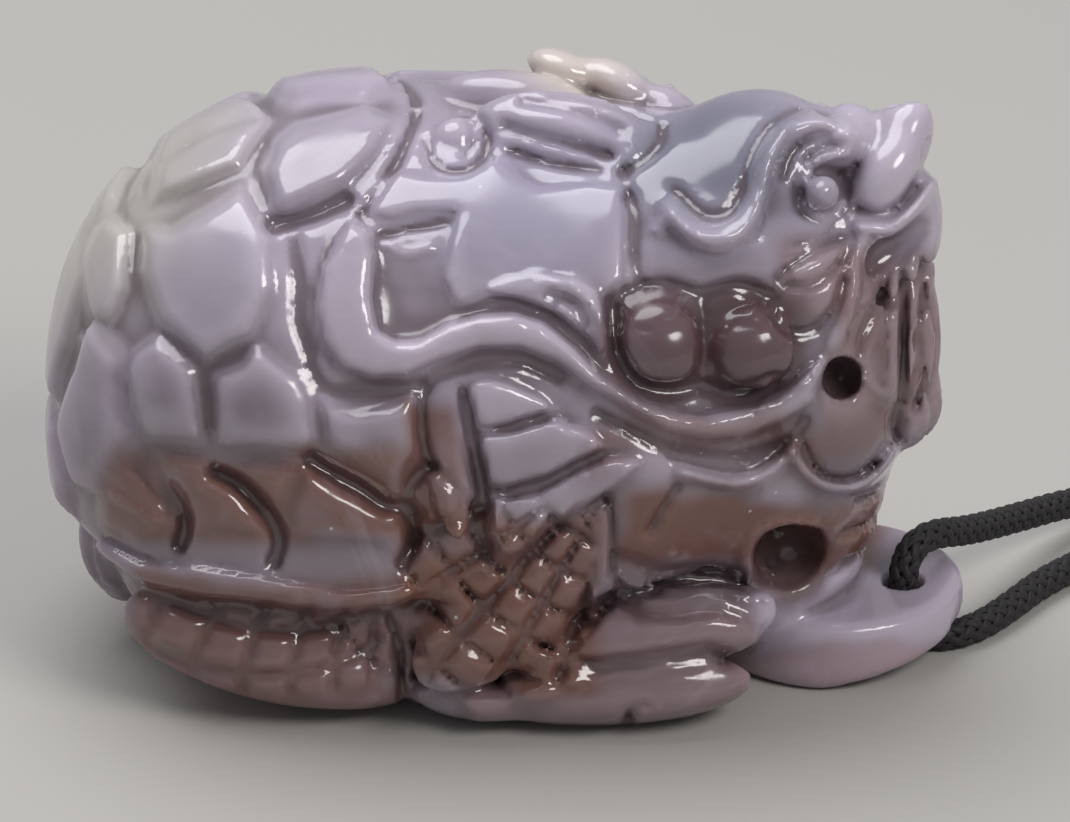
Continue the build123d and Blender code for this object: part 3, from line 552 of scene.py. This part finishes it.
def within(x, up, points, margin):
    low, high = np.min(points, 0) - margin, np.max(points, 0) + margin
    return np.flatnonzero((x > low[0]) & (x < high[0]) & (up > low[1]) & (up < high[1]))


def relief(x, y, z, facing, ahead, far):
    """Height of the carving's relief at points close to the skin, y being that of the near half.

    Facing and ahead say how far the skin there turns to the viewer and to the front. The relief fades where
    the skin turns from the viewer and, on the far half, along the ridge of the head and mane.
    """
    up = (y + lean(x, z)) * SIN + z * COS
    rise = np.zeros(x.shape)
    for _, height, bevel, spread, corners in OUTLINES:
        i = within(x, up, corners, spread)
        rise[i] = np.maximum(rise[i], height * ramp((inside_by(x[i], up[i], corners) + spread) / bevel))
    for _, height, half_width, points in LINES:
        line = smooth_curve(points)
        i = within(x, up, line, half_width)
        rise[i] += height * hump(off_line(x[i], up[i], line) / half_width)
    for _, depth, (fan_x, fan_up), low, high, angle, distance, slant in SCALES:
        i = within(x, up, (low, high), 0)
        dx, dup = fan_x - x[i], fan_up - up[i]
        across = np.arctan2(dup, dx) / math.radians(angle)
        along = np.hypot(dx, dup) / distance
        one, two = across + slant * along, slant * across - along
        rung = np.abs(two - np.round(two)) + (1 - slant) * rung_gap
        gap = np.minimum(np.abs(one - np.round(one)), rung)
        border = np.minimum(np.minimum(x[i] - low[0], high[0] - x[i]),
                            np.minimum(up[i] - low[1], high[1] - up[i]))
        rise[i] -= depth * hump(gap / scale_line) * ramp(border / scale_border)
    rise *= ramp((facing - turned_away) / turn_fade)
    beyond = far & (x > far_column)
    rise[beyond] *= ramp((-far_lane - y[beyond]) / far_fade)
    for _, side, height, half_width, points in END_LINES:
        line = smooth_curve(points)
        i = within(y, z, line, half_width)
        i = i[(side * x[i] > end_column) & (side * ahead[i] > end_turn)]
        fade = ramp((side * ahead[i] - end_turn) / end_fade)
        rise[i] += height * fade * hump(off_line(y[i], z[i], line) / half_width)
    for _, height, bevel, spread, corners in REAR_OUTLINES:
        i = within(y, z, corners, spread)
        i = i[x[i] < rear_start]
        depth_in = np.minimum(inside_by(y[i], z[i], corners), rear_start - x[i])
        rise[i] = np.maximum(rise[i], height * ramp((depth_in + spread) / bevel))
    return rise


def plate(x, y, z):
    """Round plate under the chin, its underside rising to the end that carries the hole."""
    middle_x = columns / 2 - plate_radius
    bottom = np.maximum(x - middle_x + plate_edge, 0) * plate_rise
    middle = (plate_thickness + bottom) / 2
    half = np.maximum((plate_thickness - bottom) / 2 - plate_edge, 0)
    round_out = np.maximum(np.hypot(x - middle_x, y - plate_aside) - plate_radius + plate_edge, 0)
    round_up = np.maximum(np.abs(z - middle) - half, 0)
    return np.hypot(round_out, round_up) - plate_edge


def block(axes, middle, reach):
    """Slices of the grid within reach of a middle point, and the sparse coordinates there."""
    cut = []
    for axis, c in zip(axes, middle):
        start, end = np.searchsorted(axis, c - reach), np.searchsorted(axis, c + reach, "right")
        cut.append(slice(int(start), int(end)))
    part = np.meshgrid(*(axis[c] for axis, c in zip(axes, cut)), indexing="ij", sparse=True)
    return tuple(cut), part


def add_lumps(field, axes, table, sign):
    """Join a table of lumps to the field, or sink them into it where sign is below 0."""
    for _, at_x, at_row, at_lane, along, across, deep, turn, softness in table:
        at_z = (at_row - at_lane * SIN) / COS
        y_there = at_lane - float(lean(at_x, at_z))
        reach = max(along, across, deep) + softness + lump_margin
        cut, (x, y, z) = block(axes, (at_x, y_there, at_z), reach)
        form = lump(x, y + lean(x, z), z, at_x, at_row, at_lane, along, across, deep, turn)
        field[cut] = sign * softer(sign * field[cut], form, softness)


def carved_field():
    """Depth under the stone's skin, below 0 inside: one half is worked out and mirrored."""
    xs = np.concatenate([np.arange(-columns / 2 - end_margin, head_column, grain),
                         np.arange(head_column, columns / 2 + end_margin, fine_grain)])
    ys = -np.arange(0, lanes / 2 + side_margin, grain)[::-1]
    zs = np.concatenate([np.arange(-end_margin, foot_row, foot_stretch * grain),
                         np.arange(foot_row, crown_row, grain),
                         np.arange(crown_row, rows + top_margin, fine_grain)])
    axes = (xs, ys, zs)
    x, y, z = np.meshgrid(*axes, indexing="ij", sparse=True)
    _, centre_x, centre_z, half_x, half_y, half_z, squareness, pitch, _ = MASSES[0]
    belly = mass(x, y, z, centre_x, centre_z, half_x - rim_overhang, half_y - rim_overhang, half_z,
                 squareness, pitch)
    roof = mass(x, y, z, centre_x, centre_z, half_x, half_y, half_z, squareness, pitch)
    field = softer(belly, -softer(-roof, z - rim_height, rim_softness), belly_softness)
    for _, centre_x, centre_z, half_x, half_y, half_z, squareness, pitch, softness in MASSES[1:]:
        reach = max(half_x, half_y, half_z) + softness + mass_margin
        cut, (bx, by, bz) = block(axes, (centre_x, 0, centre_z), reach)
        form = mass(bx, by, bz, centre_x, centre_z, half_x, half_y, half_z, squareness, pitch)
        field[cut] = softer(field[cut], form, softness)
    add_lumps(field, axes, LUMPS, 1)
    add_lumps(field, axes, HOLLOWS, -1)
    field = np.concatenate([field, field[:, -2::-1]], axis=1)
    ys = np.concatenate([ys, -ys[-2::-1]])
    axes = (xs, ys, zs)
    x, y, z = np.meshgrid(*axes, indexing="ij", sparse=True)
    add_lumps(field, axes, SINGLE_LUMPS, 1)
    i, j, k = np.nonzero(np.abs(field) < relief_depth)
    slopes = []
    for axis, (grid, n) in enumerate(zip(axes, (i, j, k))):
        below, above = np.maximum(n - 1, 0), np.minimum(n + 1, len(grid) - 1)
        there = [i, j, k]
        there[axis] = above
        here = [i, j, k]
        here[axis] = below
        slopes.append((field[tuple(there)] - field[tuple(here)]) / (grid[above] - grid[below]))
    steep = np.sqrt(sum(slope ** 2 for slope in slopes)) + 1e-6
    facing = (slopes[1] * np.sign(ys[j]) * COS + slopes[2] * SIN) / steep
    field[i, j, k] -= relief(xs[i], -np.abs(ys[j]), zs[k], facing, slopes[0] / steep, ys[j] > 0)
    return softer(field, plate(x, y, z), plate_softness), axes


def surface(field, axes):
    """Points and four-sided rings of the skin: one point in each cell that the skin crosses."""
    inside = field < 0
    cells = tuple(n - 1 for n in field.shape)
    corners = [(i, j, k) for i in (0, 1) for j in (0, 1) for k in (0, 1)]
    inner = sum(inside[tuple(slice(c, c + n) for c, n in zip(corner, cells))].astype(np.int8)
                for corner in corners)
    crossed = np.argwhere((inner > 0) & (inner < len(corners)))
    number = np.full(cells, -1)
    number[tuple(crossed.T)] = np.arange(len(crossed))
    total, hits = np.zeros((len(crossed), 3)), np.zeros(len(crossed))
    unit = np.eye(3, dtype=int)
    for corner in corners:
        for axis in range(3):
            if corner[axis]:
                continue
            here = crossed + corner
            f0, f1 = field[tuple(here.T)], field[tuple((here + unit[axis]).T)]
            hit = (f0 < 0) != (f1 < 0)
            share = np.divide(f0, f0 - f1, out=np.zeros(len(f0)), where=hit)
            total[hit] += (np.array(corner, float) + np.outer(share, unit[axis]))[hit]
            hits[hit] += 1
    place = crossed + total / hits[:, None]
    points = np.stack([np.interp(place[:, k], np.arange(len(axes[k])), axes[k]) for k in range(3)], 1)
    rings = []
    for axis in range(3):
        u, v = (axis + 1) % 3, (axis + 2) % 3
        first = np.take(inside, range(field.shape[axis] - 1), axis)
        second = np.take(inside, range(1, field.shape[axis]), axis)
        edge = np.argwhere(first != second)
        edge = edge[(edge[:, u] > 0) & (edge[:, v] > 0) & (edge[:, u] < cells[u]) & (edge[:, v] < cells[v])]
        steps = (unit[u] + unit[v], unit[v], 0 * unit[u], unit[u])
        ring = np.stack([number[tuple((edge - step).T)] for step in steps], 1)
        leaving = first[tuple(edge.T)]
        ring[~leaving] = ring[~leaving][:, ::-1]
        rings.append(ring)
    return points, np.vstack(rings)


def one_skin(points, rings):
    """Only the largest connected skin, without specks or closed pockets."""
    label = np.arange(len(points))
    settled = False
    while not settled:
        new = label.copy()
        np.minimum.at(new, rings.ravel(), np.repeat(label[rings].min(1), 4))
        new = new[new]
        settled = bool((new == label).all())
        label = new
    keep = label == np.bincount(label).argmax()
    number = np.cumsum(keep) - 1
    return points[keep], number[rings[keep[rings[:, 0]]]]


def smoothed(field, cells):
    """The field averaged over a cube of cells each way."""
    for axis in range(3):
        moved = np.moveaxis(field, axis, 0)
        padded = np.concatenate([moved[:1]] * (cells + 1) + [moved] + [moved[-1:]] * cells)
        total = np.cumsum(padded, axis=0, dtype=np.float64)
        width = 2 * cells + 1
        field = np.moveaxis((total[width:] - total[:-width]) / width, 0, axis).astype(np.float32)
    return field


def hollowness(field, axes, points):
    """How far each point is sunk below the skin around it, above 0 in grooves, below 0 on edges."""
    around = np.clip(field, -groove_depth, groove_depth).astype(np.float32)
    for cells in groove_cells:
        around = smoothed(around, cells)
    place = [np.interp(points[:, k], axes[k], np.arange(len(axes[k]))) for k in range(3)]
    place = [np.minimum(p, len(axis) - 1.001) for p, axis in zip(place, axes)]
    low = [p.astype(int) for p in place]
    share = [p - l for p, l in zip(place, low)]
    value = np.zeros(len(points))
    for i in (0, 1):
        for j in (0, 1):
            for k in (0, 1):
                weight = np.ones(len(points))
                for part, step in zip(share, (i, j, k)):
                    weight = weight * (part if step else 1 - part)
                value += weight * around[low[0] + i, low[1] + j, low[2] + k]
    return -value


def drilled(field, axes):
    """The field with the cord's hole, the recess below the plate and the flat base cut in."""
    x, y, z = np.meshgrid(*axes, indexing="ij", sparse=True)
    y_real = y + lean(x, z)
    bore = np.hypot(x - hole_x, y_real - hole_aside) - hole_diameter / 2
    bore = np.maximum(bore, -z)
    field = -softer(-field, bore, hole_softness)
    reach = hole_diameter / 2 + recess_margin
    recess = np.maximum(np.abs(y_real - hole_aside) - reach, hole_x - reach - x)
    field = -softer(-field, np.maximum(recess, z - recess_height), recess_softness)
    return np.maximum(field, base_height - z)


def carved_stone():
    field, axes = carved_field()
    field = drilled(field, axes)
    points, rings = one_skin(*surface(field, axes))
    sunk = hollowness(field, axes, points)
    points[:, 1] += lean(points[:, 0], points[:, 2])
    stone = mesh_object("jadeite_dragon_turtle", points * MM, rings)
    # The groove attribute carries painted shade into hollows and a painted highlight onto convex edges
    groove = stone.data.attributes.new("groove", "FLOAT", "POINT")
    groove.data.foreach_set("value", sunk.astype(np.float32))
    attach(stone, "root")
    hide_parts("dragon_turtle")
    return stone


# Colours of the stone and of the light and shade painted on it, in linear light
DARK_CLOUD, PALE_CLOUD = (0.185, 0.15, 0.18), (0.37, 0.315, 0.39)
# Painted light for the upper back and painted shade for the lower rows towards the foot
PAINTED_BACK_LIGHT, PAINTED_FOOT_SHADE = (0.48, 0.425, 0.525), (0.14, 0.1, 0.116)
# The first colour is a painted highlight for convex edges, the second painted shade for grooves and hollows
PAINTED_EDGE_HIGHLIGHT, PAINTED_GROOVE_SHADE = (0.58, 0.52, 0.62), (0.085, 0.05, 0.054)
PALE_STREAK, WHITE_FLECK = (0.5, 0.44, 0.52), (0.72, 0.69, 0.72)
BROWN_SKIN = (0.175, 0.078, 0.056)

# Balls of colour: name, column, row and lane of the middle, radius, softness, share, colour
UPPER_BALLS = [
    ("back", -17, 21, -13, 5, 3, 0.4, (0.52, 0.47, 0.57)),
    ("dome", 12, 27.5, -6, 5.5, 3.5, 0.85, (0.155, 0.16, 0.215)),
    # Painted shade: darkens the top scute where the window's highlight falls
    ("collar", -9.5, 29, -8, 4.5, 3, 0.6, (0.26, 0.225, 0.28)),
    ("neck", 1, 25, -9, 5.5, 3, 0.6, (0.3, 0.285, 0.385)),
    ("nose", 23, 29, -5, 4.5, 2.5, 0.7, (0.48, 0.43, 0.52)),
    # Painted shade: darkens the eyeball so that it catches less light
    ("eye", 18.3, 25.6, -9.6, 1.3, 0.3, 0.6, (0.26, 0.24, 0.3)),
    ("olive rump", -24, 27, 0, 9, 5, 0.65, (0.52, 0.5, 0.41)),
    ("far lobe", 4, 33, 4, 4, 2, 0.6, (0.72, 0.64, 0.54)),
]
# Partly the pearls' own brown, partly painted shade over the pearls and the pocket they sit in
PEARL_BROWN_AND_SHADE_BALLS = [
    ("rear pearl", 8.8, 16.8, -15, 3.8, 0.9, 0.9, (0.09, 0.045, 0.05)),
    ("front pearl", 14.1, 16.8, -13.5, 3.8, 0.9, 0.9, (0.09, 0.045, 0.05)),
]
# Painted shade inside the pit, over the chest's brown
PIT_SHADE_BALLS = [("pit", 16.7, 4.5, -7.4, 2.9, 1, 0.9, (0.11, 0.055, 0.05))]

# Zones of colour: name, first and last column, first and last row, share, colour where they differ
PLATE_ZONES = [
    ("plate", 15.6, 29, -0.4, 4.6, 0.7, (0.52, 0.46, 0.57)),
    ("plate's edge", 14.6, 29, -6, -0.4, 0.7, (0.46, 0.33, 0.38)),
]
BROWN_ZONES = [
    ("edge leaves", -23, -6, 5.8, 10.6, 0.85),
    ("side column", -6, -2, 6, 14, 0.8),
    ("below the rim", -22, 1, 1.6, 4, 0.8),
    ("hind leg", -22, -6, -7, 1.6, 0.7),
    ("fore leg", -6, 6, -3, 7.6, 0.85),
    ("below the whisker", 5, 19, 9.6, 12.4, 0.5),
    ("cheek", 15, 19.5, 17.6, 22.6, 0.45),
    ("beard", 19, 26, 11, 22, 0.5),
    ("toes", -3, 15.2, -7, 2.6, 0.45),
]
CHEST_ZONES = [
    ("chest", 6.4, 22.6, 4.3, 8, 0.9, (0.165, 0.07, 0.048)),
    # Partly the lavender stone, partly a painted highlight along the raised fold
    ("chest fold", 7, 18, 8.2, 10.2, 0.8, (0.42, 0.36, 0.43)),
    ("rim", -23, -5.6, 3.9, 5.6, 0.6, (0.3, 0.25, 0.3)),
    # Painted shade in the recess between the chest and the toes
    ("painted shade under the chest", 6.4, 15, 2.4, 4.3, 0.7, (0.09, 0.056, 0.066)),
]
zone_soft, zone_wave = 0.8, 1.2

# Lights: name, place, size, watts, colour
LIGHTS = [
    ("window", (-0.12, 0.10, 0.42), (0.44, 0.40), 1.65, (0.97, 0.97, 1.0)),
    ("front window", (0.24, -0.24, 0.30), (0.24, 0.16), 0.9, (1.0, 0.98, 0.95)),
]
light_target = (0, 0, 0.015)
floor_half = 0.6


def new_material(name):
    material = bpy.data.materials.new(name)
    material.use_nodes = True
    nodes, links = material.node_tree.nodes, material.node_tree.links
    return material, nodes, links, nodes["Principled BSDF"]


def fill(made, values):
    for socket, value in values:
        made.inputs[socket].default_value = value


def jade_material():
    """Lavender grey jadeite: clouds, warm brown skin low down, olive tint at the rump, white flecks."""
    material, nodes, links, shader = new_material("jadeite")

    def node(kind, **values):
        made = nodes.new(kind)
        for key, value in values.items():
            setattr(made, key, value)
        return made

    place = node("ShaderNodeTexCoord")
    across = node("ShaderNodeSeparateXYZ")
    links.new(place.outputs["Object"], across.inputs["Vector"])
    drawn = node("ShaderNodeVectorMath", operation="DOT_PRODUCT")
    links.new(place.outputs["Object"], drawn.inputs[0])
    drawn.inputs[1].default_value = (0.0, SIN, COS)

    def noise(scale, detail, roughness, distortion=0.0):
        made = node("ShaderNodeTexNoise")
        fill(made, (("Scale", scale), ("Detail", detail),
                    ("Roughness", roughness), ("Distortion", distortion)))
        links.new(place.outputs["Object"], made.inputs["Vector"])
        return made.outputs["Fac"]

    def span(value, low, high, out_low=0.0, out_high=1.0):
        made = node("ShaderNodeMapRange", interpolation_type="SMOOTHSTEP")
        links.new(value, made.inputs["Value"])
        fill(made, (("From Min", low), ("From Max", high), ("To Min", out_low), ("To Max", out_high)))
        return made.outputs["Result"]

    def times(a, b):
        made = node("ShaderNodeMath", operation="MULTIPLY")
        for key, value in ((0, a), (1, b)):
            if isinstance(value, float):
                made.inputs[key].default_value = value
            else:
                links.new(value, made.inputs[key])
        return made.outputs[0]

    def waved(value, wave, reach):
        made = node("ShaderNodeMath", operation="MULTIPLY_ADD")
        links.new(wave, made.inputs[0])
        made.inputs[1].default_value = reach
        links.new(value, made.inputs[2])
        return made.outputs[0]

    def mix(share, a, b):
        made = node("ShaderNodeMix", data_type="RGBA")
        links.new(share, made.inputs["Factor"])
        for key, value in ((6, a), (7, b)):
            if isinstance(value, tuple):
                made.inputs[key].default_value = (*value, 1.0)
            else:
                links.new(value, made.inputs[key])
        return made.outputs[2]

    def zone(x_low, x_high, row_low, row_high, share):
        """Share of a colour between two columns and two drawn rows, with wavy edges."""
        edges = []
        for value, low, high in ((column, x_low, x_high), (row_height, row_low, row_high)):
            start = span(value, (low - zone_soft) * MM, (low + zone_soft) * MM)
            end = span(value, (high - zone_soft) * MM, (high + zone_soft) * MM, 1.0, 0.0)
            edges.append(times(start, end))
        return times(times(edges[0], edges[1]), share)

    def ball(x, row, lane, radius, soft, share):
        """Share of a colour inside a ball whose middle is drawn at (x, row) and lies on that lane."""
        off = node("ShaderNodeVectorMath", operation="DISTANCE")
        links.new(place.outputs["Object"], off.inputs[0])
        off.inputs[1].default_value = (x * MM, lane * MM, (row - lane * SIN) / COS * MM)
        near = span(off.outputs["Value"], (radius - soft) * MM, (radius + soft) * MM, 1.0, 0.0)
        return times(near, share)

    def tinted(colour, area, table):
        for _, *where, tint in table:
            colour = mix(area(*where), colour, tint)
        return colour

    wave = span(noise(scale=95.0, detail=2.0, roughness=0.6), 0.2, 0.8, -1.0, 1.0)
    column = waved(across.outputs[0], wave, zone_wave * MM)
    row_height = waved(drawn.outputs["Value"], wave, zone_wave * MM)
    clouds = noise(scale=70.0, detail=3.0, roughness=0.55, distortion=0.6)
    patches = noise(scale=170.0, detail=3.0, roughness=0.6, distortion=0.3)
    streaks = noise(scale=45.0, detail=4.0, roughness=0.7, distortion=2.0)
    groove = node("ShaderNodeAttribute", attribute_name="groove").outputs["Fac"]
    # Clouds, a painted highlight on convex edges, painted light on the upper back and painted shade low
    # down
    colour = mix(span(clouds, 0.35, 0.65), DARK_CLOUD, PALE_CLOUD)
    # Painted highlight on convex edges, where the groove attribute is below 0
    colour = mix(times(span(groove, -0.30, -0.04, 1.0, 0.0), 0.4), colour, PAINTED_EDGE_HIGHLIGHT)
    # Painted light rising up the back and painted shade falling towards the foot
    colour = mix(span(row_height, 16.0 * MM, 26.0 * MM, 0.0, 0.5), colour, PAINTED_BACK_LIGHT)
    colour = mix(span(row_height, 4.0 * MM, 16.0 * MM, 0.5, 0.0), colour, PAINTED_FOOT_SHADE)
    colour = tinted(colour, ball, UPPER_BALLS)
    colour = tinted(colour, zone, PLATE_ZONES)
    for _, *where in BROWN_ZONES:
        colour = mix(times(zone(*where), span(patches, 0.15, 0.5, 0.5, 1.0)), colour, BROWN_SKIN)
    colour = tinted(colour, zone, CHEST_ZONES)
    # Painted shade on the pearls and their pocket, in a dark brown
    colour = tinted(colour, ball, PEARL_BROWN_AND_SHADE_BALLS)
    colour = mix(times(span(streaks, 0.52, 0.72), 0.3), colour, PALE_STREAK)
    # Painted shade inside the pit
    colour = tinted(colour, ball, PIT_SHADE_BALLS)
    # Painted shade in grooves and hollows, where the groove attribute is above 0
    colour = mix(times(span(groove, 0.05, 0.30), 0.6), colour, PAINTED_GROOVE_SHADE)
    # White flecks, in about one cell in ten
    cells = node("ShaderNodeTexVoronoi")
    cells.inputs["Scale"].default_value = 700.0
    links.new(place.outputs["Object"], cells.inputs["Vector"])
    chance = node("ShaderNodeSeparateColor")
    links.new(cells.outputs["Color"], chance.inputs["Color"])
    near = span(cells.outputs["Distance"], 0.0, 0.11, 1.0, 0.0)
    flecks = times(near, span(chance.outputs[0], 0.90, 0.92))
    colour = mix(times(flecks, 0.8), colour, WHITE_FLECK)
    links.new(colour, shader.inputs["Base Color"])
    polish = noise(scale=420.0, detail=1.0, roughness=0.5)
    links.new(span(polish, 0.3, 0.8, 0.11, 0.25), shader.inputs["Roughness"])
    shader.inputs["IOR"].default_value = 1.66
    shader.inputs["Subsurface Weight"].default_value = 0.4
    shader.inputs["Subsurface Radius"].default_value = (1.0, 0.9, 0.8)
    shader.inputs["Subsurface Scale"].default_value = 0.003
    bump = node("ShaderNodeBump")
    fill(bump, (("Strength", 0.12), ("Distance", 0.0002)))
    links.new(noise(scale=260.0, detail=2.0, roughness=0.5), bump.inputs["Height"])
    links.new(bump.outputs["Normal"], shader.inputs["Normal"])
    return material


def cord_material():
    """Black polyester yarn with a dull sheen and fine filaments."""
    material, nodes, links, shader = new_material("black_cord")
    place = nodes.new("ShaderNodeTexCoord")
    fibres = nodes.new("ShaderNodeTexNoise")
    fill(fibres, (("Scale", 5200.0), ("Detail", 3.0)))
    links.new(place.outputs["Object"], fibres.inputs["Vector"])
    ramp_node = nodes.new("ShaderNodeValToRGB")
    ramp_node.color_ramp.elements[0].color = (0.007, 0.006, 0.007, 1.0)
    ramp_node.color_ramp.elements[1].color = (0.040, 0.036, 0.038, 1.0)
    links.new(fibres.outputs["Fac"], ramp_node.inputs["Fac"])
    links.new(ramp_node.outputs["Color"], shader.inputs["Base Color"])
    shader.inputs["Roughness"].default_value = 0.55
    shader.inputs["Specular IOR Level"].default_value = 0.25
    shader.inputs["Sheen Weight"].default_value = 0.03
    bump = nodes.new("ShaderNodeBump")
    fill(bump, (("Strength", 0.5), ("Distance", 0.00008)))
    links.new(fibres.outputs["Fac"], bump.inputs["Height"])
    links.new(bump.outputs["Normal"], shader.inputs["Normal"])
    return material


def floor_material():
    material, *_, shader = new_material("pale_floor")
    shader.inputs["Base Color"].default_value = (0.44, 0.425, 0.40, 1.0)
    shader.inputs["Roughness"].default_value = 0.75
    return material


def dress(piece, material):
    piece.data.materials.clear()
    piece.data.materials.append(material)


def add_floor():
    signs = np.array([(-1, -1, 0), (1, -1, 0), (1, 1, 0), (-1, 1, 0)], float)
    floor = mesh_object("floor", signs * floor_half, np.array([[0, 1, 2, 3]]), smooth=False)
    dress(floor, floor_material())


def add_light(name, place, size, watts, colour):
    data = bpy.data.lights.new(name, "AREA")
    data.shape = "ELLIPSE"
    data.size, data.size_y = size
    data.energy = watts
    data.color = colour
    light = bpy.data.objects.new(name, data)
    light.location = place
    light.rotation_euler = (Vector(light_target) - Vector(place)).to_track_quat("-Z", "Y").to_euler()
    bpy.context.collection.objects.link(light)


def add_lights():
    for light in LIGHTS:
        add_light(*light)
    world = bpy.data.worlds.new("room")
    world.use_nodes = True
    fill(world.node_tree.nodes["Background"], (("Color", (0.80, 0.82, 0.85, 1.0)), ("Strength", 0.36)))
    bpy.context.scene.world = world


add_camera()
cord = braided_cord()
stone = carved_stone()
dress(stone, jade_material())
black = cord_material()
dress(cord, black)
dress(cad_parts["cord_knot"], black)
add_floor()
add_lights()
bpy.context.scene.view_settings.view_transform = "Standard"
